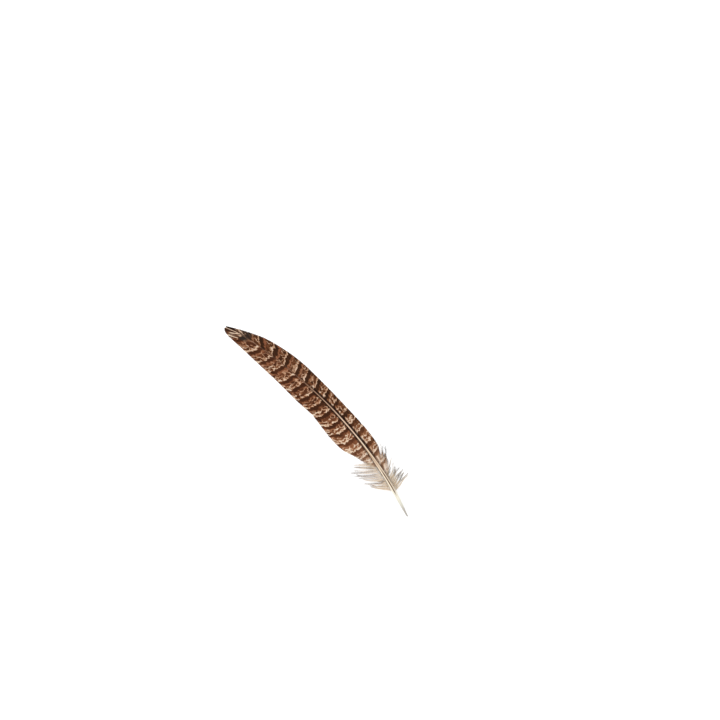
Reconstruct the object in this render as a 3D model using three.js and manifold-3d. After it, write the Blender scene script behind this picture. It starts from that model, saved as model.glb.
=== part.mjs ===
// A pheasant's tail feather, lying upper side up on a flat surface.
//
// Millimetres, +Z up. In plan, x runs from the feather's tip (0) to the end of its quill, and +y is the
// side of the narrow outer vane. At the end the feather is moved so that the origin is under its middle.
// A place on the shaft is given by its distance from the tip, measured along the shaft.

import * as THREE from "three";
import { mergeVertices } from "three/addons/utils/BufferGeometryUtils.js";
import Module from "manifold-3d";

const { degToRad, lerp } = THREE.MathUtils;

// Shaft
const SHAFT_LINE = [[0.6, -7.7], [12, -3.6], [30, 0], [53, 2.75], [80, 4.1], [105, 3], [124, 0.5],
  [144, -3.6], [165.7, -10]];
const SHAFT_WIDTHS = [[0, 0.36], [35, 0.5], [75, 0.8], [105, 1.3], [120, 2.1], [132, 2.6], [148, 2.4],
  [156, 2.1], [163, 1.4], [169, 0.6]];
const SHAFT_TALLNESS = 1.1; // height of the shaft over its width
const SHAFT_SQUARENESS = 0.8; // 1 is an ellipse, less is squarer
const SHAFT_STATIONS = 46;
const SHAFT_SIDES = 12;
const ARCH = 2.2; // how far the shaft's underside rises over the surface, half way along
const GROOVE = { from: 108, to: 152, depth: 0.28 }; // along the top of the shaft's base

// Vanes: the barbs root along the shaft and end along the edge, both given from the base to the tip
const INNER_VANE = {
  side: -1,
  roots: [131, 1.2],
  edge: [[124.5, -5.2], [115, -7.5], [107, -9.9], [98, -10.2], [87, -9.1], [77, -8], [64, -8.7], [48, -8.8],
    [32, -9.4], [16, -10], [6, -10.5], [1.6, -9.9], [0.1, -8.6]],
  notches: [{ x: 77.8, depth: 1, width: 2.6 }, { x: 110, depth: 0.9, width: 2.2 }],
};
const OUTER_VANE = {
  side: 1,
  roots: [137, 1.2],
  edge: [[132, 4.9], [123.5, 7], [114, 9.9], [104, 10.8], [90, 11.3], [70, 11.6], [51, 11.2], [36.5, 9.1],
    [22.5, 5.3], [11.4, 0], [3.8, -4.4], [0.2, -6.7]],
  notches: [{ x: 119, depth: 1.6, width: 2.4 }, { x: 103, depth: 0.8, width: 2 }],
};
const BARB_LINES = 84; // every other one is a ridge
const BARB_STEPS = 5;
const BARB_LEAD = 0.4; // how far the barbs' ends run ahead of their roots, towards the tip
const BARB_BEND = { x: 0.38, y: 0.58 }; // where a barb's bend lies between its root and its end
const RIDGE = { height: 0.1, reach: 0.35 };
const CAMBER = 1.35; // over 1, a vane leaves the shaft level and turns down towards its edge
const VANE_THICKNESS = { root: 0.46, edge: 0.26 };
const ROOT_HEIGHT = 0.6; // of the shaft's height
const SHAFT_GAP = 0.12; // between the shaft and what grows from it

// Down: loose locks at the base of each vane, rooted from the vane's base towards the quill
const INNER_DOWN = {
  side: -1,
  roots: [133, 149],
  tips: [[117.5, -12.4], [122.5, -16], [133, -16.6], [141, -13.4], [147, -9.2]],
};
const OUTER_DOWN = {
  side: 1,
  roots: [139.5, 152],
  tips: [[119.5, 12.2], [128.5, 11.8], [138.5, 8.2], [146, 9.8], [150, 6]],
};
const LOCKS = 22; // on each side
const LOCK_STEPS = 5;
const LOCK_ROOT = { width: 1.5, thickness: 0.6 };
const LOCK_TIP = { width: 0.3, thickness: 0.16 };
const LOCK_BEND = { x: 0.42, y: 0.6 };
const LOCK_SHORTEST = 0.84; // share of its full length that the shortest lock has
const UNEVENNESS_TURN = 2.4; // radians from one lock to the next, which sets its length
const LOCK_LEVELS = { count: 3, step: 0.08 }; // neighbouring locks lie a little over each other

const COLOURS = { shaft: 0xdcc9a0, vane: 0x6a4730, down: 0xcdc2b2 };

const wasm = await Module();
wasm.setup();

const curveThrough = (points) => new THREE.SplineCurve(points.map(([x, y]) => new THREE.Vector2(x, y)));

const shaftLine = curveThrough(SHAFT_LINE);
const shaftLength = shaftLine.getLength();

// The value at a place in a list of [place, value] pairs, on straight lines between them.
function valueAt(pairs, place) {
  const next = pairs.findIndex(([at]) => at >= place);
  if (next === 0) return pairs[0][1];
  if (next < 0) return pairs[pairs.length - 1][1];
  const [from, low] = pairs[next - 1];
  const [to, high] = pairs[next];
  return lerp(low, high, (place - from) / (to - from));
}

// The shaft at a distance from the tip: its middle in plan, the way to its +y side, its size and its height.
function shaftAt(distance) {
  const share = distance / shaftLength;
  const along = shaftLine.getTangentAt(share);
  const width = valueAt(SHAFT_WIDTHS, distance);
  return {
    middle: shaftLine.getPointAt(share),
    sideways: new THREE.Vector2(-along.y, along.x),
    width,
    height: width * SHAFT_TALLNESS,
    underside: ARCH * 4 * share * (1 - share),
  };
}

// A closed solid through rings of points that all run the same way round. Each end is closed by a strip
// of faces across its ring, from the ring's first half to its second.
function loft(rings) {
  const size = rings[0].length;
  const faces = [];
  const quad = (a, b, c, d) => faces.push(a, b, c, a, c, d);
  for (let ring = 0; ring + 1 < rings.length; ring++) {
    for (let k = 0; k < size; k++) {
      const here = ring * size + k;
      const beside = ring * size + ((k + 1) % size);
      quad(here, here + size, beside + size, beside);
    }
  }
  const last = (rings.length - 1) * size;
  for (let k = 0; k + 1 < size / 2; k++) {
    quad(k, k + 1, size - 2 - k, size - 1 - k);
    quad(last + size - 1 - k, last + size - 2 - k, last + k + 1, last + k);
  }
  const geometry = new THREE.BufferGeometry().setFromPoints(rings.flat());
  geometry.setIndex(faces);
  return geometry;
}

// A mesh's faces point outwards if its rings run the right way; the other way they are turned over.
function facingOut(geometry) {
  const p = geometry.getAttribute("position");
  const corner = (k) => new THREE.Vector3().fromBufferAttribute(p, geometry.index.getX(k));
  let volume = 0;
  for (let k = 0; k < geometry.index.count; k += 3) {
    volume += corner(k).dot(corner(k + 1).cross(corner(k + 2)));
  }
  if (volume < 0) geometry.setIndex([...geometry.index.array].reverse());
  return geometry;
}

// One closed solid made of solids that overlap.
function fuse(geometries) {
  const solids = geometries.map((geometry) => {
    const merged = mergeVertices(geometry, 1e-3);
    return new wasm.Manifold(
      new wasm.Mesh({
        numProp: 3,
        vertProperties: merged.getAttribute("position").array,
        triVerts: new Uint32Array(merged.index.array),
      }),
    );
  });
  const mesh = solids.reduce((all, solid) => all.add(solid)).getMesh();
  const fused = new THREE.BufferGeometry();
  fused.setAttribute("position", new THREE.BufferAttribute(mesh.vertProperties, 3));
  return fused.setIndex(new THREE.BufferAttribute(mesh.triVerts, 1));
}

// The quill and the rachis: a squarish tapering rod, grooved along the top near its base.
function shaft() {
  const rings = [];
  for (let station = 0; station <= SHAFT_STATIONS; station++) {
    const distance = (station / SHAFT_STATIONS) * shaftLength;
    const { middle, sideways, width, height, underside } = shaftAt(distance);
    const inGroove = THREE.MathUtils.clamp((distance - GROOVE.from) / (GROOVE.to - GROOVE.from), 0, 1);
    const groove = GROOVE.depth * Math.sin(Math.PI * inGroove);
    const ring = [];
    for (let k = 0; k < SHAFT_SIDES; k++) {
      const angle = degToRad(180 - (k + 0.5) * (360 / SHAFT_SIDES));
      const across = Math.sign(Math.cos(angle)) * Math.abs(Math.cos(angle)) ** SHAFT_SQUARENESS;
      const up = Math.sign(Math.sin(angle)) * Math.abs(Math.sin(angle)) ** SHAFT_SQUARENESS;
      const topMiddle = k === SHAFT_SIDES / 4 - 1 || k === SHAFT_SIDES / 4;
      const plan = middle.clone().addScaledVector(sideways, (across * width) / 2);
      const level = underside + ((1 + up) * height) / 2;
      ring.push(new THREE.Vector3(plan.x, plan.y, topMiddle ? level - groove : level));
    }
    rings.push(ring);
  }
  return facingOut(loft(rings));
}

// A barb's or lock's line in plan, from beside the shaft to its end.
function barbLine(side, distance, end, bend) {
  const { middle, sideways, width } = shaftAt(distance);
  const root = middle.clone().addScaledVector(sideways, side * (width / 2 + SHAFT_GAP));
  const corner = new THREE.Vector2(lerp(root.x, end.x, bend.x), lerp(root.y, end.y, bend.y));
  return new THREE.QuadraticBezierCurve(root, corner, end);
}

// The height at which a barb or lock leaves the shaft.
function rootHeight(distance) {
  const { underside, height } = shaftAt(distance);
  return underside + ROOT_HEIGHT * height;
}

// How much of a barb is missing where the vane's edge is notched.
function notched(notches, x) {
  return notches.reduce((most, notch) => {
    const share = 1 - Math.abs(x - notch.x) / (notch.width / 2);
    return Math.max(most, notch.depth * Math.max(share, 0));
  }, 0);
}

// A vane: a thin sheet that turns down to the surface at its edge, ridged along its barbs.
function vane({ side, roots, edge, notches }) {
  const edgeLine = curveThrough(edge);
  const rings = [];
  for (let line = 0; line <= BARB_LINES; line++) {
    const share = line / BARB_LINES;
    const distance = lerp(roots[0], roots[1], share);
    const end = edgeLine.getPointAt(share + BARB_LEAD * share * (1 - share));
    const barb = barbLine(side, distance, end, BARB_BEND);
    const isRidge = line % 2 === 1;
    const missing = notched(notches, end.x) + (isRidge ? 0 : RIDGE.reach);
    const reach = 1 - missing / barb.getLength();
    const top = [];
    const bottom = [];
    for (let step = 0; step <= BARB_STEPS; step++) {
      const out = step / BARB_STEPS;
      const plan = barb.getPoint(out * reach);
      const thickness = lerp(VANE_THICKNESS.root, VANE_THICKNESS.edge, out);
      const middle = Math.max(lerp(rootHeight(distance), 0, out ** CAMBER), thickness / 2);
      const ridge = isRidge ? RIDGE.height : 0;
      top.push(new THREE.Vector3(plan.x, plan.y, middle + thickness / 2 + ridge));
      bottom.push(new THREE.Vector3(plan.x, plan.y, middle - thickness / 2));
    }
    rings.push([...top, ...bottom.reverse()]);
  }
  return facingOut(loft(rings));
}

// One lock of down: a flat tapering strip that droops to the surface. Its width is taken along the shaft.
function lock(side, distance, end, level) {
  const line = barbLine(side, distance, end, LOCK_BEND);
  const { sideways } = shaftAt(distance);
  const alongShaft = new THREE.Vector2(sideways.y, -sideways.x);
  const rings = [];
  for (let step = 0; step <= LOCK_STEPS; step++) {
    const out = step / LOCK_STEPS;
    const plan = line.getPoint(out);
    const width = lerp(LOCK_ROOT.width, LOCK_TIP.width, out) / 2;
    const thickness = lerp(LOCK_ROOT.thickness, LOCK_TIP.thickness, out) / 2;
    const height = Math.max(lerp(rootHeight(distance) + level, level, out ** CAMBER), thickness);
    const corner = (across, up) => {
      const place = plan.clone().addScaledVector(alongShaft, across * width);
      return new THREE.Vector3(place.x, place.y, height + up * thickness);
    };
    rings.push([corner(-1, 1), corner(1, 1), corner(1, -1), corner(-1, -1)]);
  }
  return facingOut(loft(rings));
}

// The down on one side: locks that overlap at their roots, of uneven length and level.
function down({ side, roots, tips }) {
  const tipLine = curveThrough(tips);
  const locks = [];
  for (let k = 0; k < LOCKS; k++) {
    const share = k / (LOCKS - 1);
    const distance = lerp(roots[0], roots[1], share);
    const fullness = (1 + Math.sin(k * UNEVENNESS_TURN)) / 2;
    const reach = lerp(LOCK_SHORTEST, 1, fullness);
    const end = shaftAt(distance).middle.lerp(tipLine.getPointAt(share), reach);
    locks.push(lock(side, distance, end, LOCK_LEVELS.step * (k % LOCK_LEVELS.count)));
  }
  return fuse(locks);
}

function piece(name, geometry, color, roughness) {
  const mesh = new THREE.Mesh(geometry, new THREE.MeshStandardMaterial({ color, roughness, metalness: 0 }));
  mesh.name = name;
  return mesh;
}

const feather = new THREE.Group();
feather.add(
  piece("shaft", shaft(), COLOURS.shaft, 0.4),
  piece("inner_vane", vane(INNER_VANE), COLOURS.vane, 0.7),
  piece("outer_vane", vane(OUTER_VANE), COLOURS.vane, 0.7),
  piece("inner_down", down(INNER_DOWN), COLOURS.down, 0.9),
  piece("outer_down", down(OUTER_DOWN), COLOURS.down, 0.9),
);

const extent = new THREE.Box3().setFromObject(feather);
const centre = extent.getCenter(new THREE.Vector3());
feather.position.set(-centre.x, -centre.y, -extent.min.z);

const part = new THREE.Group();
part.add(feather);

export default part;
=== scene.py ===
"""The looks of a pheasant's tail feather: horn shaft, barbed vanes and down, on a white ground.

Plan sizes are in millimetres, in the feather's own plan: x from its tip (0) to the end of its quill, and +y
on the side of the narrow outer vane. They are shifted to the frame and turned to metres when a mesh is made.
"""

import math

import bpy
import numpy as np
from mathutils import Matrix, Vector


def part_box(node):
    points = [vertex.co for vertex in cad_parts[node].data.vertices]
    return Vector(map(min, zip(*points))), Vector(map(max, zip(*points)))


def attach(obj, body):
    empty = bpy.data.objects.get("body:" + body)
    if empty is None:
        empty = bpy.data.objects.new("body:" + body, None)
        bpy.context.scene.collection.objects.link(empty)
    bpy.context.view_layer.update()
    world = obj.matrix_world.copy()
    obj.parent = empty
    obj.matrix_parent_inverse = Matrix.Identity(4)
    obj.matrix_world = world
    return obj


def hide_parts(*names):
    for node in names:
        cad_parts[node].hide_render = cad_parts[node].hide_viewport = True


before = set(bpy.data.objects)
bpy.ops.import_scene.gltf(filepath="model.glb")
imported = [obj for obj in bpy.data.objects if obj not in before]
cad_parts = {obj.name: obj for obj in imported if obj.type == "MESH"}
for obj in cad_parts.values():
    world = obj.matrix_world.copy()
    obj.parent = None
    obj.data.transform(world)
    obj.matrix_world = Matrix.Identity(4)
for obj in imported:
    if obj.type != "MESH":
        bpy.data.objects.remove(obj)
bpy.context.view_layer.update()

MM = 0.001
FEATHER_LENGTH = 170

# Shaft
SHAFT_LINE = [(0.6, -7.7), (12, -3.6), (30, 0), (53, 2.75), (80, 4.1), (105, 3), (124, 0.5), (144, -3.6),
              (165.7, -10)]
SHAFT_WIDTHS = [(0, 0.36), (35, 0.5), (75, 0.8), (105, 1.3), (120, 2.1), (132, 2.6), (148, 2.4), (156, 2.0),
                (163, 1.3), (167.5, 0.7), (169, 0.2)]  # (distance from the tip, width)
SHAFT_TALLNESS = 1.1  # height over width
SHAFT_SQUARENESS = 0.8  # 1 is an oval section, and less is squarer
SHAFT_STATIONS = 260
SHAFT_SIDES = 28  # of its section
ARCH = 2.2  # how high the middle of the underside is off the ground
GROOVE = {"from": 108, "to": 152, "depth": 0.34, "half_width": 0.34}  # half_width is a share of the shaft's

BARS = [26.65, 35.9, 44.7, 53.55, 61.1, 69.3, 77.3, 84.85, 93.05, 100.2, 107.7]  # that both vanes share
BAR_PHASE = 0.11  # half of a bar's share of the pattern's period
BAR_CURL = {"beyond": 6.5, "by": 0.085}  # how the bars turn further to the tip near the edge

# Vanes. The barbs root along the shaft and end along the edge, and both lists go from the base to the tip.
# - bars: places on the shaft of the dark bars' middles, with the widths of some of them
# - lean: how far the bars lean to the tip per mm outwards
# - shades: how light the whole pattern is, where 0.5 leaves it as it is
# - fade: where the colours fade towards the base
# - second_line, shaft_edge, rosy: how strong these markings are
# - edge_light: how much lighter the streaks at the edge make it
# - tip_streaks: a step over noise, which gives the light levels of the streaks at the tip
# - charcoal: where the charcoal patch ends to the side of the shaft, if it doesn't reach the edge
# - root_painted_shadow: where the painted shadow beside the shaft ends, and where along the shaft it gets
#   weaker
INNER_VANE = {
    "side": -1,
    "roots": (131, 1.4),
    "edge": [(124.5, -5.2), (115, -7.5), (107, -9.9), (98, -10.2), (87, -9.1), (77, -8), (64, -8.7),
             (48, -8.8), (32, -9.4), (16, -10), (6, -10.5), (1.6, -9.9), (0.1, -8.6), (0.3, -7.9)],
    "notches": [{"x": 77.8, "depth": 1, "width": 2.6}, {"x": 110, "depth": 0.9, "width": 2.2}],
    "bars": [14.2, *BARS, 115.5, 121.2],
    "bar_widths": [(14.2, 3.2), (26.65, 2.4), (60, 1.9), (100, 1.9), (115.5, 2.2), (121.2, 1.8)],
    "lean": [(14, 0.45), (26, 0.43), (45, 0.3), (60, 0.2), (77, 0.1), (107, 0.1)],
    "shades": [(0, 0.46), (12, 0.46), (20, 0.5), (50, 0.5), (66, 0.39), (95, 0.48), (110, 0.69), (119, 0.7),
               (123, 0.86), (128, 1)],
    "fade": (110, 131),
    "second_line": 0.4,
    "edge_light": 0.12,
    "shaft_edge": 0.1,
    "rosy": 0.35,
    "tip_streaks": (0.52, 0.57, 0.12, 1.15),
    "charcoal": (3.6, 2.2),
    "root_painted_shadow": {"beside": (1.3, 0.3), "along": (106, 120)},
}
OUTER_VANE = {
    "side": 1,
    "roots": (138.5, 1.4),
    "edge": [(133, 5.6), (129.3, 7.5), (123.7, 8.2), (114, 9.9), (104, 10.8), (90, 11.3), (70, 11.6),
             (51, 11.2), (36.5, 9.1), (22.5, 5.3), (11.4, 0), (3.8, -4.4), (0.2, -6.7), (0.3, -7.4)],
    "notches": [{"x": 122.5, "depth": 4.6, "width": 4.4}, {"x": 103, "depth": 0.8, "width": 2}],
    "bars": [14.9, *BARS, 116.8, 124.1, 131.7],
    "bar_widths": [(14.9, 4.8), (26.65, 2.8), (60, 2.1), (100, 1.9), (116.8, 2.3), (131.7, 1.5)],
    "lean": [(14, 0.25), (18, 0.6), (24, 1.1), (28, 1.1), (36, 0.64), (45, 0.47), (69, 0.45), (85, 0.33),
             (93, 0.12), (100, 0.05), (108, 0.18)],
    "shades": [(0, 0.46), (14, 0.56), (25, 0.47), (50, 0.52), (66, 0.47), (95, 0.51), (106, 0.7), (122, 0.68),
               (126, 0.88), (132, 0.84)],
    "fade": (116, 136),
    "second_line": 0.2,
    "edge_light": -0.1,
    "shaft_edge": 0.3,
    "rosy": 0.7,
    "tip_streaks": (0.63, 0.68, 0.14, 0.95),
    "charcoal": None,
    "root_painted_shadow": {"beside": (1.55, 0.7), "along": (114, 128)},
}
VANE_SEED = 11
BARBS = 330  # on each vane
BARB_STEPS = 34
BARB_SWEEP = 1.4  # over 1, the barbs run more and more alongside the shaft towards the tip
BARB_BEND = (0.38, 0.58)  # the corner of a barb's curve, as shares of its way in x and y
CAMBER = 1.35  # power of the fall from the shaft to the edge
ROOT_HEIGHT = 0.6  # as a share of the shaft's height
# A barb's section: (share of the spacing to the next barb, height), a ridge with a web on either side that
# reaches under the barb before it and over the barb after it.
BARB_SECTION = [(0, -0.06), (-0.6, -0.02), (-0.2, 0.015), (0, 0.06), (0.2, 0.03), (0.6, 0.025)]
BARB_TIP_SHARE = 0.05  # of its length, over which a barb narrows to its tip
BARB_TIP_WIDTH = 0.1  # as a share of its width
BARB_UNEVENNESS = 0.35  # how much can be missing at a barb's end
LOOSE_SHARE = 0.1  # of the barbs, at the vane's base, whose webs no longer hold together
LOOSE_TAPER = 0.55  # how much of its width a loose barb loses to its end
LOOSE_SWAY = 0.5
LOOSE_WAY = (1, 0.3)  # of the sway, in x and y
LIFT = 0.16  # how high groups of barbs wave up and down at the edge
WAVES = 40  # along a vane
LOWEST = 0.09  # that the middle of a vane's barb gets
LOWEST_HAIR = 0.02  # that the down gets
ROOT_INSET = 0.4  # where barbs root, as a share of the shaft's width to the side of its middle

# Down: loose barbs with fine barbules, rooted from the vane's base towards the quill, gathered in clumps.
# - tips: where the barbs end, in the order of their roots
# - near: the colour near the shaft
# - sunk: how much lower on the shaft the down roots than the vane's barbs
# - fluff: how long the barbules of long barbs are, as a share of those of short barbs
# - spread: how far a clump's barbs stay apart at their ends, as a share of their roots' distance
# - crowding: under 1, the roots crowd towards the quill
# - short: the share of clumps that are short, and how far these reach
# - shade: a split in the order of the barbs, the shares of plain barbs before and after it, and for the other
#   barbs the span of their length that is shaded, and its colour
INNER_DOWN = {
    "seed": 10,
    "side": -1,
    "roots": (127, 149),
    "tips": [(117, -11.4), (121, -14), (126.5, -14.8), (131.5, -14.4), (137, -12.8)],
    "near": (252, 228, 197),
    "sunk": 0.7,
    "fluff": 0.85,
    "barbs": 50,
    "clumps": 16,
    "spread": 0.5,
    "crowding": 1,
    "short": {"share": 0.36, "reach": (0.35, 0.7)},
    "shade": {"split": 0.6, "plain": (0.6, 0.7), "from": 0.2, "to": 0.8, "colour": (122, 92, 74)},
}
OUTER_DOWN = {
    "seed": 56,
    "side": 1,
    "roots": (134, 150),
    "tips": [(119.6, 11.7), (126, 11), (136.5, 8), (142.5, 8.8), (147.5, 9.8)],
    "near": (232, 208, 174),
    "sunk": 1.4,
    "fluff": 0.65,
    "barbs": 48,
    "clumps": 18,
    "spread": 0.4,
    "crowding": 0.88,
    "short": {"share": 0.4, "reach": (0.3, 0.65)},
    "shade": {"split": 0.3, "plain": (0.1, 0.3), "from": 0.42, "to": 1.2, "colour": (58, 50, 46)},
}
DOWN_STEPS = 22
DOWN_SIDES = 4
CLUMP_SWAY = 0.6  # of the clumps' ends
DOWN_BEND = (0.42, 0.6)
LONG_REACH = (0.86, 1.02)  # of the barbs that aren't short, as shares of the way to the tips
DOWN_RADII = (0.08, 0.055)  # at the root and at the end
DOWN_WAVE = (0.5, 1)  # how far the barbs sway at their ends, in x and y
DOWN_TURNS = (4, 8)  # of the waves, in radians over a barb's length
DOWN_TURN_SPREAD = 0.4  # between the barbs of a clump
DOWN_LEVELS = (0.15, 1.1)  # heights of the ends
BARBULES = 84  # along each side of a barb of down
BARBULE_STEPS = 3
BARBULE_START = 0.05  # where they start, as a share of the barb
BARBULE_SPAN = 0.93  # how much of it they take up
BARBULE_LENGTHS = (1.2, 0.3)  # near the barb's root and at its end
BARBULE_LENGTH_SHARES = (0.5, 1.1)  # how much of that length each has
BARBULE_RADII = (0.017, 0.00425)  # where they start and where they end
BARBULE_ANGLES = (14, 42)  # to the barb, in degrees
BARBULE_RISE = 0.4  # at most, up or down, over their length in plan
BARBULE_CURL = 0.35  # towards the barb's end, over their length
DOWN_FULL_RUN = 18  # from the root, where the down has the colour of its ends

# Camera: straight down, at the photo's scale of 0.63 mm to a pixel
VIEW_WIDTH = 453.6
VIEW_MIDDLE = (74.64, 38.04)
VIEW_ROLL = 45.30
LENS = 85
SENSOR = 36

# Stage, in metres and watts
FLOOR_HALF = 4  # of its width
FLOOR_GREY = 0.93
SKY_STRENGTH = 1.2
SOFTBOX_SIZE = 1.2
SOFTBOX_POWER = 9
SOFTBOX_PLACE = (-0.9, 0.1, 1.3)


# ---- curves and places on the feather ----

class Line:
    """A smooth line in plan through points, with places on it found by distance."""

    def __init__(self, points, samples_per_span=120):
        points = np.array(points, float)
        last = len(points) - 1
        at = np.linspace(0, last, last * samples_per_span + 1)
        first = np.minimum(at.astype(int), last - 1)
        part = (at - first)[:, None]
        before = points[np.maximum(first - 1, 0)]
        start = points[first]
        end = points[first + 1]
        after = points[np.minimum(first + 2, last)]
        leaving = (end - before) / 2
        arriving = (after - start) / 2
        self.points = (
            (2 * start - 2 * end + leaving + arriving) * part**3
            + (3 * end - 3 * start - 2 * leaving - arriving) * part**2
            + leaving * part
            + start
        )
        steps = np.linalg.norm(np.diff(self.points, axis=0), axis=1)
        self.distances = np.concatenate([[0], np.cumsum(steps)])
        self.length = self.distances[-1]

    def at(self, distance):
        """Places on the line at distances from its start."""
        x, y = (np.interp(distance, self.distances, self.points[:, k]) for k in (0, 1))
        return np.stack([x, y], axis=-1)

    def along(self, distance, reach=0.4):
        """The line's way at distances from its start, as vectors of length 1."""
        ahead = self.at(distance + reach) - self.at(distance - reach)
        return ahead / np.linalg.norm(ahead, axis=-1, keepdims=True)


shaft_line = Line(SHAFT_LINE)


def value_at(pairs, place):
    """The value at a place in a list of (place, value) pairs, on straight lines between them."""
    return np.interp(place, [p for p, _ in pairs], [v for _, v in pairs])


def shaft_at(distance):
    """The shaft at distances from the tip: middle in plan, way to its +y side, width, height, underside."""
    along = shaft_line.along(distance)
    sideways = np.stack([-along[..., 1], along[..., 0]], axis=-1)
    width = value_at(SHAFT_WIDTHS, distance)
    share = distance / shaft_line.length
    return shaft_line.at(distance), sideways, width, width * SHAFT_TALLNESS, ARCH * 4 * share * (1 - share)


def root_height(distance):
    """How high the barbs leave the shaft."""
    *_, height, underside = shaft_at(distance)
    return underside + ROOT_HEIGHT * height


def shaft_offset(x, y):
    """How far points in plan lie to the side of the shaft."""
    return np.abs(y - np.interp(x, shaft_line.points[:, 0], shaft_line.points[:, 1]))


def frame_shift():
    """How far the frame's x and y are from the plan's, from the farthest reach of the CAD shaft."""
    _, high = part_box("shaft")
    middle, sideways, width, *_ = shaft_at(np.linspace(0, shaft_line.length, SHAFT_STATIONS))
    edges = np.concatenate([middle + sideways * width[:, None] / 2, middle - sideways * width[:, None] / 2])
    return np.array([high.x, high.y]) / MM - edges.max(0)


SHIFT = frame_shift()


# ---- meshes ----

def spread_marks(shape, *values):
    """Three numbers for each point of an array of points, from values that spread over its shape."""
    return np.stack([np.broadcast_to(value, shape) for value in values], axis=-1)


def make_piece(name, points, faces, marks, node, material):
    """A mesh piece from points in plan millimetres, which rides on the feather and replaces a CAD node."""
    placed = (points.reshape(-1, 3) + [*SHIFT, 0]) * MM
    mesh = bpy.data.meshes.new(name)
    mesh.vertices.add(len(placed))
    mesh.vertices.foreach_set("co", placed.astype(np.float32).ravel())
    mesh.loops.add(faces.size)
    mesh.loops.foreach_set("vertex_index", faces.ravel().astype(np.int32))
    mesh.polygons.add(len(faces))
    mesh.polygons.foreach_set("loop_start", np.arange(0, faces.size, faces.shape[1], dtype=np.int32))
    mesh.update(calc_edges=True)
    for mark, values in marks.items():
        attribute = mesh.attributes.new(mark, "FLOAT_VECTOR", "POINT")
        attribute.data.foreach_set("vector", values.astype(np.float32).ravel())
    low = placed.min(0)
    size = placed.max(0) - low
    plan = ((placed - low) / size)[:, :2]
    unwrapped = mesh.uv_layers.new(name="OFBake")  # seen from above
    unwrapped.data.foreach_set("uv", plan[faces.ravel()].astype(np.float32).ravel())
    mesh.materials.append(material)
    mesh.shade_smooth()
    made = bpy.data.objects.new(name, mesh)
    bpy.context.scene.collection.objects.link(made)
    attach(made, "root")
    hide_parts(node)


def tube_faces(tubes, rings, size):
    """Faces of closed tubes, each of rings of points that run the same way round, with pinched ends."""
    ring, side = np.meshgrid(np.arange(rings - 1), np.arange(size), indexing="ij")
    beside = (side + 1) % size
    walls = np.stack([ring * size + side, ring * size + beside, (ring + 1) * size + beside,
                      (ring + 1) * size + side], axis=-1).reshape(-1, 4)
    strips = np.arange((size - 2) // 2)
    start = np.stack([strips, size - 1 - strips, size - 2 - strips, strips + 1], axis=-1)
    end = (rings - 1) * size + start[:, ::-1]
    one = np.concatenate([start, end, walls])
    return (one[None] + np.arange(tubes)[:, None, None] * rings * size).reshape(-1, 4)


# ---- materials ----

SHADER_SOCKETS = {"roughness": "Roughness", "specular_ior_level": "Specular IOR Level"}
BUMP_HEIGHT = 0.0001  # metres


class Surface:
    """A material of nodes, with short ways to add the nodes that the feather's materials need."""

    MIX_FACTOR, MIX_A, MIX_B, MIX_RESULT = 0, 6, 7, 2

    def __init__(self, name, **settings):
        self.material = bpy.data.materials.new(name)
        self.material.use_nodes = True
        self.tree = self.material.node_tree
        self.shader = self.tree.nodes["Principled BSDF"]
        for socket, value in settings.items():
            self.shader.inputs[SHADER_SOCKETS[socket]].default_value = value

    def add(self, kind, *inputs, **settings):
        made = self.tree.nodes.new("ShaderNode" + kind)
        for name, value in settings.items():
            setattr(made, name, value)
        for socket, value in zip(made.inputs, inputs):
            self.feed(socket, value)
        return made

    def feed(self, socket, value):
        if isinstance(value, bpy.types.NodeSocket):
            self.tree.links.new(value, socket)
        elif value is not None:
            socket.default_value = value

    def mark(self, name):
        """The three numbers that a mesh carries at each point under this name."""
        parts = self.add("SeparateXYZ", self.add("Attribute", attribute_name=name).outputs["Vector"])
        return parts.outputs

    def calc(self, operation, *values):
        return self.add("Math", *values, operation=operation).outputs[0]

    def total(self, first, *others):
        for other in others:
            first = self.calc("ADD", first, other)
        return first

    def product(self, first, *others):
        for other in others:
            first = self.calc("MULTIPLY", first, other)
        return first

    def away(self, value, middle):
        """How far a value is from a middle, either way."""
        return self.calc("ABSOLUTE", self.calc("SUBTRACT", value, middle))

    def swing(self, value, size):
        """A value around a half as one around nothing, stretched to this size."""
        return self.calc("MULTIPLY", self.calc("SUBTRACT", value, 0.5), size)

    def blend_values(self, factor, first, second):
        return self.calc("ADD", first, self.calc("MULTIPLY", factor, self.calc("SUBTRACT", second, first)))

    def place(self, x=0.0, y=0.0, z=0.0):
        return self.add("CombineXYZ", x, y, z).outputs[0]

    def noise(self, place, detail=1.0):
        made = self.add("TexNoise")
        for name, value in (("Vector", place), ("Scale", 1.0), ("Detail", detail), ("Roughness", 0.5)):
            self.feed(made.inputs[name], value)
        return made.outputs[0]

    def smooth(self, value, low, high, to_low=0.0, to_high=1.0):
        """The value's way from low to high, as a smooth step from to_low to to_high."""
        made = self.add("MapRange", value, low, high, to_low, to_high, interpolation_type="SMOOTHSTEP")
        return made.outputs[0]

    def ramp(self, value, stops):
        made = self.add("ValToRGB", value)
        elements = made.color_ramp.elements
        while len(elements) < len(stops):
            elements.new(0.5)
        for element, (position, colour) in zip(elements, stops):
            element.position = position
            element.color = colour_of(colour)
        return made.outputs[0]

    def mix(self, factor, first, second):
        made = self.add("Mix", data_type="RGBA")
        self.feed(made.inputs[self.MIX_FACTOR], factor)
        self.feed(made.inputs[self.MIX_A], first)
        self.feed(made.inputs[self.MIX_B], second)
        return made.outputs[self.MIX_RESULT]

    def finish(self, colour, height, strength):
        """The material with this colour, and bumps of this height."""
        self.feed(self.shader.inputs["Base Color"], colour)
        bump = self.add("Bump")
        for name, value in (("Height", height), ("Strength", strength), ("Distance", BUMP_HEIGHT)):
            self.feed(bump.inputs[name], value)
        self.feed(self.shader.inputs["Normal"], bump.outputs[0])
        return self.material


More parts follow.
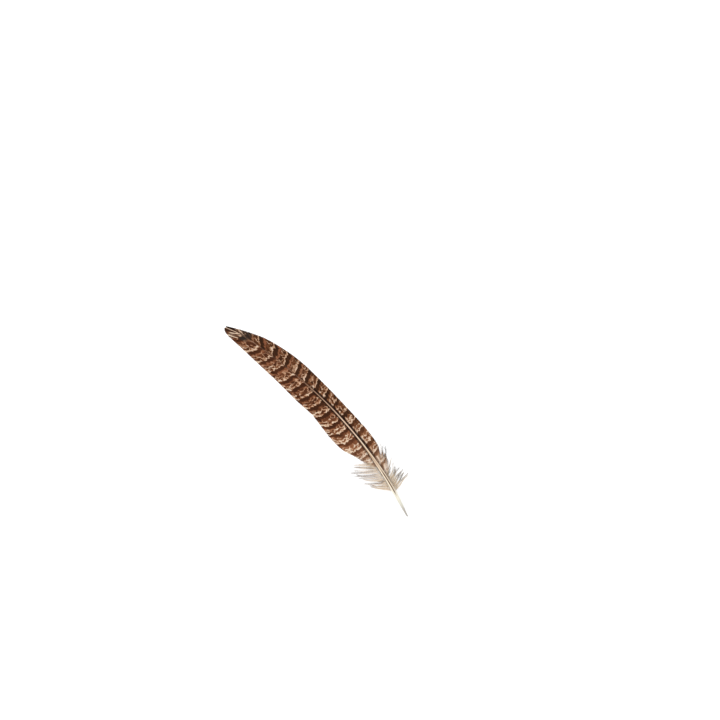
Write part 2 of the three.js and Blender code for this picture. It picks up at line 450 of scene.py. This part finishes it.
PAINT_SHARE = 0.74  # of a colour as it looks on this stage, whose light makes white a little more than white


def colour_of(colour):
    """A linear colour with alpha, from a grey level or from red, green and blue as they look, 0 to 255."""
    if isinstance(colour, (int, float)):
        return (colour, colour, colour, 1)
    shares = np.array(colour) / 255
    linear = np.where(shares <= 0.04045, shares / 12.92, ((shares + 0.055) / 1.055) ** 2.4)
    return (*map(float, linear * PAINT_SHARE), 1)


VANE_COLOURS = {
    "inner_vane": [(0, (72, 39, 22)), (0.2, (106, 61, 38)), (0.42, (146, 93, 62)), (0.6, (180, 127, 93)),
                   (0.8, (216, 176, 143)), (1, (244, 220, 194))],
    "outer_vane": [(0, (60, 36, 22)), (0.2, (96, 57, 34)), (0.42, (134, 84, 54)), (0.6, (168, 117, 82)),
                   (0.8, (208, 168, 135)), (1, (240, 212, 186))],
}
FADED_COLOURS = [(0, (106, 70, 49)), (0.42, (164, 128, 101)), (0.8, (226, 193, 166)), (1, (246, 226, 206))]
CHARCOAL_COLOURS = [(0, (54, 45, 40)), (0.3, (98, 72, 56)), (0.6, (164, 124, 96)), (1, (240, 210, 182))]
ROSY = (170, 106, 76)
# painted shadow: the dark line on the vanes beside the shaft
ROOT_PAINTED_SHADOW = (38, 21, 13)  # beside the shaft

# How light one period of the pattern is, from the tipward end of a dark bar to that of the next one: near the
# tip and near the base
TIP_BANDS = [(0, 0.04), (0.19, 0.04), (0.25, 0.42), (0.34, 0.48), (0.4, 0.24), (0.6, 0.22), (0.8, 0.26),
             (0.86, 0.86), (0.95, 0.94), (0.985, 0.12)]
BASE_BANDS = [(0, 0.04), (0.2, 0.04), (0.26, 0.3), (0.45, 0.36), (0.66, 0.28), (0.79, 0.34), (0.85, 0.86),
              (0.95, 0.96), (0.985, 0.12)]
SECOND_LINE = 0.58  # its middle in the period

# The vanes' noises: the size of their spots across the barbs and along them, in mm, and a number that keeps
# each apart from the others
BARB_GRAINS = {
    "hooks": (2.4, 2.4, 1.7),
    "ticks": (0.7, 2.2, 5.2),
    "flecks": (1.1, 1.5, 7.3),
    "edge": (0.9, 6, 11.9),
    "hairs": (0.45, 9, 15.1),
    "tip": (1.4, 20, 17.7),
    "clouds": (3.5, 3.5, 19.3),
}
# The same, with the sizes along the feather and away from the shaft
PLAN_GRAINS = {"bends": (3.2, 2.0, 3.1), "gaps": (2.2, 1.5, 23.1)}
NOISE_APART = 20  # the two vanes' noises
# The squiggles' noise has its spots along the period of the bars
SQUIGGLES = {"per_period": 4, "sway": 1.3, "size_out": 2.6, "number": 9.4, "detail": 0.4}

# How far the noises shift the bars, in periods, and how much they lighten or darken the pattern
BAR_SHIFTS = {"bends": 0.34, "hooks": 0.2, "ticks": 0.04, "own": 0.02}
LEVEL_SWINGS = {"flecks": 0.2, "edge": 2.4, "clouds": 0.3, "own": 0.06, "hairs": 0.16}
TIP_SWAY = 3  # of the end of the streaked tip, in mm

# Smooth steps, each from one place to another, with the values at both where these aren't 0 and 1
VANE_STEPS = {
    # places in the period of the bars
    "after_bar": (0.22, 0.3),
    "before_next_bar": (0.98, 0.86),
    "squiggles_grow": (0.3, 0.5, 0.45, 1),
    "cream_line": (0.8, 0.87),
    "rosy_from": (0.2, 0.26),
    "rosy_to": (0.5, 0.38),
    # values of noise, or how far they are from their middle
    "squiggle": (0.06, 0.022, 0, 0.52),
    "dark_patch": (0.54, 0.6, 0, -0.16),
    "dim_patch": (0.45, 0.4, 0, -0.04),
    "line_gap": (0.5, 0.36, 0, -0.45),
    "rosy_spot": (0.4, 0.6),
    # how far a place in the period is from the second line's middle
    "second_line": (0.09, 0.03),
    # shares of the way from the shaft to the edge
    "second_line_out": (0.3, 0.6),
    "margin": (0.66, 0.95),
    # mm beside the shaft
    "shaft_edge_from": (0.9, 1.3),
    "shaft_edge_to": (2.4, 1.8),
    # mm along the feather
    "tip_rim": (0.7, 0.4, 0, 0.3),
    "tip_dark": (2.6, 6, -0.95, 0),
    "tip_light": (8, 10, 0, 0.12),
    "streaked_tip": (11.1, 10.1),
    "charcoal_from": (8, 11, 0.35, 1),
    "charcoal_to": (18, 14.5),
    "rosy_start": (17, 19),
    "rosy_end": (62, 46),
    "shaft_edge_start": (40, 60),
    "base_bands": (45, 80),
    "root_painted_shadow": (58, 72),
}
ROOT_PAINTED_SHADOW_LEVELS = (0.92, 0.45)  # along the vane and at its base


def vane_material(name, shape):
    """Bars, cream lines and mottling that follow the barbs. A point carries its place in the pattern."""
    s = Surface(name, roughness=0.6, specular_ior_level=0.05)
    phase, offset, out = s.mark("pattern")
    root, run, own = s.mark("barb")
    x, beside, _ = s.mark("plan")
    apart = NOISE_APART * shape["side"]

    def grain(along_x, along_y, sizes, detail=1.0):
        size_x, size_y, number = sizes
        place = s.place(s.calc("DIVIDE", along_x, size_x), s.calc("DIVIDE", along_y, size_y), number + apart)
        return s.noise(place, detail)

    def step(value, key):
        return s.smooth(value, *VANE_STEPS[key])

    noises = {key: grain(root, run, sizes) for key, sizes in BARB_GRAINS.items()}
    noises.update({key: grain(x, offset, sizes) for key, sizes in PLAN_GRAINS.items()})
    noises["own"] = own
    swings = {key: s.swing(noises[key], size) for key, size in LEVEL_SWINGS.items()}

    # Bars, whose places wander a little
    wobble = s.total(*(s.swing(noises[key], size) for key, size in BAR_SHIFTS.items()))
    place = s.calc("FRACT", s.total(phase, wobble, BAR_PHASE))
    bands = s.blend_values(step(x, "base_bands"), s.ramp(place, TIP_BANDS), s.ramp(place, BASE_BANDS))
    between = s.product(step(place, "after_bar"), step(place, "before_next_bar"))

    # Squiggles: thin pale lines round dark patches, which join the cream line of the next bar
    swayed = s.total(s.product(phase, SQUIGGLES["per_period"]), s.swing(noises["hooks"], SQUIGGLES["sway"]))
    patches = grain(swayed, offset, (1, SQUIGGLES["size_out"], SQUIGGLES["number"]), SQUIGGLES["detail"])
    squiggles = s.product(step(s.away(patches, 0.5), "squiggle"), step(place, "squiggles_grow"))
    squiggles = s.total(squiggles, step(patches, "dark_patch"), step(patches, "dim_patch"))

    # Lines and streaks
    second_line = s.product(step(s.away(place, SECOND_LINE), "second_line"), step(out, "second_line_out"))
    edge_streaks = s.product(s.total(swings["edge"], shape["edge_light"]), step(out, "margin"))
    shaft_edge = s.product(step(beside, "shaft_edge_from"), step(beside, "shaft_edge_to"), between,
                           step(x, "shaft_edge_start"))
    shade_stops = [(at / FEATHER_LENGTH, shade) for at, shade in shape["shades"]]
    shades = s.ramp(s.calc("DIVIDE", x, FEATHER_LENGTH), shade_stops)
    level = s.total(
        bands,
        s.product(squiggles, between),
        s.product(swings["flecks"], between),
        s.product(second_line, shape["second_line"]),
        edge_streaks,
        s.product(shaft_edge, shape["shaft_edge"]),
        s.product(step(noises["gaps"], "line_gap"), step(place, "cream_line")),
        swings["clouds"],
        swings["own"],
        swings["hairs"],
        s.swing(shades, 1),
    )

    # The streaked tip
    tip_streaks = s.total(s.smooth(noises["tip"], *shape["tip_streaks"]), step(x, "tip_rim"),
                          step(x, "tip_dark"), step(x, "tip_light"))
    in_tip = step(s.total(x, s.swing(noises["hooks"], TIP_SWAY)), "streaked_tip")
    level = s.blend_values(in_tip, level, tip_streaks)

    # Colours
    charcoal = s.product(step(x, "charcoal_to"), step(x, "charcoal_from"))
    if shape["charcoal"]:
        charcoal = s.product(charcoal, s.smooth(offset, *shape["charcoal"]))
    rosy = s.product(step(place, "rosy_from"), step(place, "rosy_to"), step(x, "rosy_end"),
                     step(x, "rosy_start"), step(noises["hooks"], "rosy_spot"), shape["rosy"])
    # Painted shadow: a dark line on the vane beside the shaft, weaker towards the base
    shade_ends = shape["root_painted_shadow"]
    root_painted_shadow = s.product(s.smooth(beside, *shade_ends["beside"]), step(x, "root_painted_shadow"),
                           s.smooth(x, *shade_ends["along"], *ROOT_PAINTED_SHADOW_LEVELS))
    colour = s.mix(s.smooth(x, *shape["fade"]), s.ramp(level, VANE_COLOURS[name]),
                   s.ramp(level, FADED_COLOURS))
    colour = s.mix(charcoal, colour, s.ramp(level, CHARCOAL_COLOURS))
    colour = s.mix(rosy, colour, colour_of(ROSY))
    colour = s.mix(root_painted_shadow, colour, colour_of(ROOT_PAINTED_SHADOW))
    return s.finish(colour, noises["ticks"], strength=0.25)


HORN = [(0, (236, 208, 182)), (0.056, (222, 188, 160)), (0.07, (78, 60, 50)), (0.1, (88, 66, 53)),
        (0.118, (180, 140, 114)), (0.135, (148, 104, 82)), (0.2, (118, 80, 60)), (0.35, (134, 94, 72)),
        (0.45, (184, 146, 120)), (0.5, (192, 156, 131)), (0.56, (230, 198, 172)), (0.63, (236, 204, 178)),
        (0.67, (255, 238, 212)), (0.72, (250, 228, 200)), (0.77, (226, 198, 170)), (0.81, (255, 238, 212)),
        (0.87, (255, 240, 214)), (0.9, (250, 243, 224)), (0.925, (242, 236, 218)), (0.946, (228, 225, 210)),
        (0.97, (190, 184, 174)), (1, (170, 164, 154))]  # from the tip to the end of the quill
# painted shade on the shaft's sides, also the colour of its real dark bars near the tip
HORN_BARS_AND_SIDE_SHADE = (66, 40, 26)
HORN_TAN = (178, 142, 110)
HORN_GROOVE = (84, 54, 34)
HORN_GRAIN = (40, 2.5)  # spots of noise along the shaft and across it
HORN_GROOVE_MIDDLE = 0.06

HORN_STEPS = {
    # shares of the way from the tip to the end of the quill
    "bars_from": (0.1, 0.12),
    "bars_to": (0.4, 0.28, 0, 0.8),
    "pale_half_narrows": (0.56, 0.65, 0.58, 0.4),
    "pale_half_widens": (0.69, 0.79, 0, 0.3),
    "side_shade_from": (0.1, 0.14),
    "side_shade_to": (0.895, 0.8),
    "tan_inside_grows": (0.62, 0.68, 0.4, 1),
    "tan_inside_to": (0.77, 0.73, 0, 0.9),
    "tan_outside_from": (0.76, 0.82, 0, 0.28),
    "tan_outside_to": (0.91, 0.88),
    "groove_from": (0.71, 0.76, 0, 0.3),
    "groove_deepens": (0.785, 0.82, 0, 0.7),
    "groove_to": (0.92, 0.89),
    # across the shaft, from -1 on the inner side to 1 on the outer side
    "tan_inside": (0.25, -0.2),
    "tan_outside": (0.1, 0.35),
    # how far a point is from the groove's middle, and how far it lies outside the pale half, where the sides
    # take painted shade
    "groove": (0.38, 0.2),
    "side": (0, 0.16),
    # how far a point is from the middle of a dark bar, in periods
    "bar": (BAR_PHASE + 0.02, BAR_PHASE - 0.02),
    # values of noise
    "groove_grain": (0.3, 0.6, 0.85, 1),
}


def horn_material():
    """Satin horn, brown at the tip and cream at the quill, with painted shade on its sides and a tan groove.
    """
    s = Surface("horn", roughness=0.4, specular_ior_level=0.12)
    share, across, phase = s.mark("horn")

    def step(value, key):
        return s.smooth(value, *HORN_STEPS[key])

    along_grain, across_grain = HORN_GRAIN
    grain = s.noise(s.place(s.product(share, along_grain), s.product(across, across_grain)), detail=2.0)
    bars = s.product(step(s.calc("PINGPONG", phase, 0.5), "bar"), step(share, "bars_to"),
                     step(share, "bars_from"))
    pale_half = s.total(step(share, "pale_half_narrows"), step(share, "pale_half_widens"))
    # Painted shade: the shaft's sides, outside its pale half, darker as if in shadow
    sides = s.product(step(s.calc("SUBTRACT", s.away(across, 0), pale_half), "side"), step(share, "side_shade_to"),
                      step(share, "side_shade_from"))
    tan_inside = s.product(step(across, "tan_inside"), step(share, "tan_inside_to"),
                           step(share, "tan_inside_grows"))
    tan_outside = s.product(step(across, "tan_outside"), step(share, "tan_outside_from"),
                            step(share, "tan_outside_to"))
    groove = s.product(s.total(step(share, "groove_from"), step(share, "groove_deepens")),
                       step(share, "groove_to"), step(s.away(across, HORN_GROOVE_MIDDLE), "groove"),
                       step(grain, "groove_grain"))
    colour = s.mix(s.calc("MAXIMUM", tan_inside, tan_outside), s.ramp(share, HORN), colour_of(HORN_TAN))
    colour = s.mix(groove, colour, colour_of(HORN_GROOVE))
    # the painted side shade and the shaft's real dark bars share one dark colour
    colour = s.mix(s.calc("MAXIMUM", sides, bars), colour, colour_of(HORN_BARS_AND_SIDE_SHADE))
    return s.finish(colour, grain, strength=0.2)


# painted shadow: the down darker at its roots, beside the shaft
DOWN_ROOT_SHADOW = (112, 80, 56)
DOWN_ROOT_SHADOW_STEP = (0.07, 0.03, 0, 0.5)
DOWN_ENDS = [(0.56, (241, 224, 207)), (0.88, (138, 122, 112))]  # from the middle of the barbs to their ends
DOWN_NEAR_END = 0.38
DOWN_GRAIN = (6, 40)  # spots of noise along a barb, and steps of it between barbs
DOWN_SWING = 0.3
SHADE_EDGE = 0.08
SHADE_DEPTH = 0.85


def down_material(name, near, shade):
    """Down: pale near the shaft and grey at its ends, with some barbs shaded over part of their length."""
    s = Surface(name, roughness=0.8, specular_ior_level=0.1)
    reach, own, shaded = s.mark("strand")
    along_grain, own_grain = DOWN_GRAIN
    mottle = s.noise(s.place(s.product(reach, along_grain), s.product(own, own_grain)), detail=2.0)
    colour = s.ramp(s.total(reach, s.swing(own, DOWN_SWING), s.swing(mottle, DOWN_SWING)),
                    [(0, near), (DOWN_NEAR_END, near), *DOWN_ENDS])
    in_shade = s.product(s.smooth(shaded, shade["from"] - SHADE_EDGE, shade["from"] + SHADE_EDGE),
                         s.smooth(shaded, shade["to"] + SHADE_EDGE, shade["to"] - SHADE_EDGE, 0, SHADE_DEPTH))
    colour = s.mix(in_shade, colour, colour_of(shade["colour"]))
    # Painted shadow at the roots, beside the shaft
    colour = s.mix(s.smooth(reach, *DOWN_ROOT_SHADOW_STEP), colour, colour_of(DOWN_ROOT_SHADOW))
    return s.finish(colour, mottle, strength=0.1)


# ---- pieces ----

def bar_phase(x, y, shape):
    """Where points lie in the pattern: whole numbers are the middles of the dark bars."""
    offset = shaft_offset(x, y)
    curl = BAR_CURL["by"] * np.maximum(offset - BAR_CURL["beyond"], 0) ** 2
    place = x + value_at(shape["lean"], x) * offset + curl
    place = x + value_at(shape["lean"], place) * offset + curl
    bars = np.array(shape["bars"])
    half = value_at(shape["bar_widths"], bars) / 2
    edges = np.stack([bars - half, bars + half], axis=1).ravel()
    phases = (np.arange(len(bars))[:, None] + [-BAR_PHASE, BAR_PHASE]).ravel()
    beyond = bars[-1] - bars[-2]
    return np.interp(place, [*edges, edges[-1] + beyond], [*phases, phases[-1] + 1])


def shaft():
    """The quill and the rachis, with its groove and the pinched point of the quill."""
    distance = np.linspace(0, shaft_line.length, SHAFT_STATIONS)
    middle, sideways, width, height, underside = shaft_at(distance)
    angle = (np.arange(SHAFT_SIDES) + 0.5) * math.tau / SHAFT_SIDES
    across, up = (np.sign(turn) * np.abs(turn) ** SHAFT_SQUARENESS for turn in (np.cos(angle), np.sin(angle)))
    in_groove = np.clip((distance - GROOVE["from"]) / (GROOVE["to"] - GROOVE["from"]), 0, 1)
    groove = GROOVE["depth"] * np.sin(math.pi * in_groove)
    dip = np.where(up > 0, np.exp(-((across / GROOVE["half_width"]) ** 2)), 0)
    plan = middle[:, None] + sideways[:, None] * (across * width[:, None] / 2)[..., None]
    level = underside[:, None] + (1 + up) * height[:, None] / 2 - groove[:, None] * dip
    points = np.concatenate([plan, level[..., None]], axis=-1)
    phase = bar_phase(middle[:, 0], middle[:, 1], INNER_VANE)
    marks = {"horn": spread_marks(level.shape, distance[:, None] / shaft_line.length, across, phase[:, None])}
    faces = tube_faces(1, SHAFT_STATIONS, SHAFT_SIDES)
    make_piece("horn_shaft", points, faces, marks, "shaft", horn_material())


def barb_lines(side, distance, ends, bend, way):
    """Plan lines from inside the shaft to their ends, as an array: line, share of the way, x and y."""
    middle, sideways, width, *_ = shaft_at(distance)
    roots = middle + sideways * (side * width * ROOT_INSET)[:, None]
    corners = roots + (ends - roots) * bend
    way = way[..., None]
    return roots[:, None] * (1 - way) ** 2 + corners[:, None] * 2 * way * (1 - way) + ends[:, None] * way**2


def run_along(lines):
    """How far each point of each line is from the line's start."""
    steps = np.linalg.norm(np.diff(lines[..., :2], axis=1), axis=-1)
    return np.concatenate([np.zeros((len(lines), 1)), np.cumsum(steps, axis=1)], axis=1)


def missing_ends(ends, notches, rng):
    """How much of each barb is missing: a little unevenness, and more in the notches."""
    missing = rng.uniform(0, BARB_UNEVENNESS, len(ends))
    for notch in notches:
        near = np.clip(1 - np.abs(ends[:, 0] - notch["x"]) / (notch["width"] / 2), 0, 1)
        missing = np.maximum(missing, notch["depth"] * near)
    return missing


def vane(name, shape, rng):
    """A vane of several hundred barbs, each a closed ridged strip whose web laps over the next one's."""
    # The barbs' middle lines in plan
    share = np.linspace(0, 1, BARBS)
    distance = shape["roots"][0] + (shape["roots"][1] - shape["roots"][0]) * share
    edge = Line(shape["edge"])
    ends = edge.at((1 - (1 - share) ** BARB_SWEEP) * edge.length)
    out = np.linspace(0, 1, BARB_STEPS)
    whole = barb_lines(shape["side"], distance, ends, BARB_BEND, np.tile(out, (BARBS, 1)))
    missing = missing_ends(ends, shape["notches"], rng)
    way = out * (1 - missing / run_along(whole)[:, -1])[:, None]
    middle = barb_lines(shape["side"], distance, ends, BARB_BEND, way)
    spacing = np.gradient(middle, axis=0)
    loose = np.clip(1 - share / LOOSE_SHARE, 0, 1)[:, None]
    sway = rng.normal(0, LOOSE_SWAY, (BARBS, 1)) * loose * out**2
    middle = middle + sway[..., None] * np.array(LOOSE_WAY)

    # The strips round them
    taper = np.interp(out, [0, 1 - BARB_TIP_SHARE, 1], [1, 1, BARB_TIP_WIDTH])
    taper = taper * (1 - LOOSE_TAPER * loose * out)
    waves = np.interp(share * WAVES, np.arange(WAVES + 1), rng.uniform(-1, 1, WAVES + 1))
    centre = root_height(distance)[:, None] * (1 - out**CAMBER) + LIFT * waves[:, None] * out**2
    centre = np.maximum(centre, LOWEST)
    section = np.array(BARB_SECTION[::-shape["side"]])
    across = section[:, 0] * taper[..., None]
    plan = middle[:, :, None] + across[..., None] * spacing[:, :, None]
    level = centre[..., None] + section[:, 1] * np.sqrt(taper)[..., None]
    points = np.concatenate([plan, level[..., None]], axis=-1)
    faces = tube_faces(BARBS, BARB_STEPS, len(section))

    # What the material reads
    x, y = plan[..., 0], plan[..., 1]
    offset = shaft_offset(x, y)
    own = rng.uniform(0, 1, (BARBS, 1, 1))
    marks = {
        "pattern": spread_marks(x.shape, bar_phase(x, y, shape), offset, out[:, None]),
        "barb": spread_marks(x.shape, distance[:, None, None], run_along(middle)[..., None], own),
        "plan": spread_marks(x.shape, x, offset - value_at(SHAFT_WIDTHS, x) / 2, 0),
    }
    make_piece(name + "_barbs", points, faces, marks, name, vane_material(name, shape))


def down(name, shape):
    """Loose barbs of down in clumps, each a fine strand with barbules along both sides."""
    # Where each barb roots, its clump and how far it reaches
    rng = np.random.default_rng(shape["seed"])
    barbs = shape["barbs"]
    clumps = shape["clumps"]
    short = shape["short"]
    shade = shape["shade"]
    share = ((np.arange(barbs) + rng.uniform(0, 1, barbs)) / barbs) ** shape["crowding"]
    distance = shape["roots"][0] + (shape["roots"][1] - shape["roots"][0]) * share
    clump = np.floor(share * clumps).astype(int)
    centre = (clump + 0.5) / clumps
    gathered = centre + (share - centre) * shape["spread"]
    is_short = rng.uniform(0, 1, clumps)[clump] < short["share"]
    reach = np.where(is_short, rng.uniform(*short["reach"], barbs), rng.uniform(*LONG_REACH, barbs))

    # The barbs' lines
    middle, *_ = shaft_at(distance)
    tip_shares = np.linspace(0, 1, len(shape["tips"]))
    tips = np.stack([np.interp(gathered, tip_shares, line) for line in np.transpose(shape["tips"])], axis=-1)
    tips = tips + rng.normal(0, CLUMP_SWAY, (clumps, 2))[clump]
    ends = middle + (tips - middle) * reach[:, None]
    out = np.linspace(0, 1, DOWN_STEPS)
    plan = barb_lines(shape["side"], distance, ends, DOWN_BEND, np.tile(out, (barbs, 1)))
    first_turn = rng.uniform(0, math.tau, (clumps, 1))[clump]
    turns = first_turn + out * rng.uniform(*DOWN_TURNS, (clumps, 1))[clump]
    turns = turns + rng.uniform(-DOWN_TURN_SPREAD, DOWN_TURN_SPREAD, (barbs, 1))
    plan = plan + (out * np.sin(turns))[..., None] * np.array(DOWN_WAVE)
    start = root_height(distance) - shape["sunk"]
    level = start[:, None] * (1 - out**CAMBER) + rng.uniform(*DOWN_LEVELS, (barbs, 1)) * out
    lines = np.concatenate([plan, level[..., None]], axis=-1)

    # The rods round them, and their barbules
    own = rng.uniform(0, 1, barbs)
    shaded = own > np.where(share < shade["split"], *shade["plain"])
    fluff = np.where(is_short, 1, shape["fluff"])
    strands, strand_marks = rods(lines, DOWN_RADII, run_along(lines), own, shaded[:, None] * out)
    barbules, barbule_marks = barbule_rods(lines, own, shaded, fluff, rng)
    points = np.concatenate([strands.reshape(-1, 3), barbules.reshape(-1, 3)])
    fine_faces = tube_faces(len(barbules), BARBULE_STEPS, DOWN_SIDES) + strands.size // 3
    faces = np.concatenate([tube_faces(barbs, DOWN_STEPS, DOWN_SIDES), fine_faces])
    marks = {"strand": np.concatenate([strand_marks.reshape(-1, 3), barbule_marks.reshape(-1, 3)])}
    material = down_material(name, shape["near"], shade)
    make_piece(name + "_barbs", points, faces, marks, name, material)


def rods(lines, radii, run, own, shaded):
    """Four-sided tapering rods round lines, with their marks: how far out a point is, the barb's own number,
    and how far along a shaded barb it is, which is 0 on the other barbs."""
    along = np.gradient(lines, axis=1)
    along /= np.linalg.norm(along, axis=-1, keepdims=True)
    beside = np.cross([0, 0, 1], along)
    beside /= np.linalg.norm(beside, axis=-1, keepdims=True)
    above = np.cross(along, beside)
    radius = np.linspace(*radii, lines.shape[1])[:, None]
    corners = [beside * radius, above * radius, -beside * radius, -above * radius]
    points = np.stack([lines + corner for corner in corners], axis=2)
    points[..., 2] = np.maximum(points[..., 2], LOWEST_HAIR)
    far_out = run[..., None] / DOWN_FULL_RUN
    return points, spread_marks(points.shape[:3], far_out, own[:, None, None], shaded[..., None])


def barbule_rods(lines, own, shaded, fluff, rng):
    """Barbules along both sides of each line, as rods that curl towards the line's end."""
    count = (len(lines), BARBULES * 2)
    way = (rng.uniform(0, 1, count) + np.arange(count[1]) // 2) / BARBULES * BARBULE_SPAN + BARBULE_START
    place = way * (DOWN_STEPS - 1)
    before = np.minimum(place.astype(int), DOWN_STEPS - 2)
    part = (place - before)[..., None]
    barb = np.arange(len(lines))[:, None]
    start = lines[barb, before] * (1 - part) + lines[barb, before + 1] * part
    along = lines[barb, before + 1] - lines[barb, before]
    along /= np.linalg.norm(along, axis=-1, keepdims=True)
    side = np.where(np.arange(count[1]) % 2, 1, -1)
    turn = side * np.radians(rng.uniform(*BARBULE_ANGLES, count))
    x, y, z = np.moveaxis(along, -1, 0)
    rise = rng.uniform(-BARBULE_RISE, BARBULE_RISE, count)
    heading = np.stack([x * np.cos(turn) - y * np.sin(turn), x * np.sin(turn) + y * np.cos(turn), z + rise],
                       axis=-1)
    length = BARBULE_LENGTHS[0] + (BARBULE_LENGTHS[1] - BARBULE_LENGTHS[0]) * np.sqrt(way)
    length = length * rng.uniform(*BARBULE_LENGTH_SHARES, count) * fluff[:, None]
    step = np.linspace(0, 1, BARBULE_STEPS)[:, None]
    curl = along * (length * BARBULE_CURL)[..., None]
    fine = start[:, :, None] + (heading * length[..., None])[:, :, None] * step + curl[:, :, None] * step**2
    fine = fine.reshape(-1, BARBULE_STEPS, 3)

    def for_points(values):
        return np.repeat(values.reshape(-1, 1), BARBULE_STEPS, axis=1)

    run = for_points(way * run_along(lines)[:, -1:])
    return rods(fine, BARBULE_RADII, run, np.repeat(own, count[1]), for_points(shaded[:, None] * way))


# ---- stage ----

def camera():
    """Straight above the feather, turned and placed so that it lies in the frame as in the photo."""
    distance = LENS / SENSOR * VIEW_WIDTH
    data = bpy.data.cameras.new("camera")
    data.lens = LENS
    data.sensor_width = SENSOR
    made = bpy.data.objects.new("camera", data)
    x, y = np.array(VIEW_MIDDLE) + SHIFT
    made.location = (x * MM, y * MM, distance * MM)
    made.rotation_euler = (0, 0, math.radians(VIEW_ROLL))
    bpy.context.scene.collection.objects.link(made)
    bpy.context.scene.camera = made


def floor():
    """A pale sheet, wide enough to fill every view."""
    corners = [(-1, -1), (1, -1), (1, 1), (-1, 1)]
    mesh = bpy.data.meshes.new("floor")
    mesh.from_pydata([(x * FLOOR_HALF, y * FLOOR_HALF, 0) for x, y in corners], [], [(0, 1, 2, 3)])
    s = Surface("paper", roughness=0.9)
    s.shader.inputs["Base Color"].default_value = colour_of(FLOOR_GREY)
    mesh.materials.append(s.material)
    made = bpy.data.objects.new("floor", mesh)
    bpy.context.scene.collection.objects.link(made)


def lights():
    """An even white sky, and one softbox from the tip's side."""
    world = bpy.data.worlds.new("studio")
    world.use_nodes = True
    background = world.node_tree.nodes["Background"]
    background.inputs["Color"].default_value = colour_of(1)
    background.inputs["Strength"].default_value = SKY_STRENGTH
    bpy.context.scene.world = world
    data = bpy.data.lights.new("softbox", "AREA")
    data.size = SOFTBOX_SIZE
    data.energy = SOFTBOX_POWER
    made = bpy.data.objects.new("softbox", data)
    made.location = SOFTBOX_PLACE
    x, y, z = (-along for along in SOFTBOX_PLACE)  # the way to the feather
    made.rotation_euler = (math.atan2(math.hypot(x, y), -z), 0, math.atan2(y, x) - math.pi / 2)
    bpy.context.scene.collection.objects.link(made)
    bpy.context.scene.view_settings.view_transform = "Standard"


camera()
floor()
lights()
shaft()
vane_rng = np.random.default_rng(VANE_SEED)
vane("inner_vane", INNER_VANE, vane_rng)
vane("outer_vane", OUTER_VANE, vane_rng)
down("inner_down", INNER_DOWN)
down("outer_down", OUTER_DOWN)
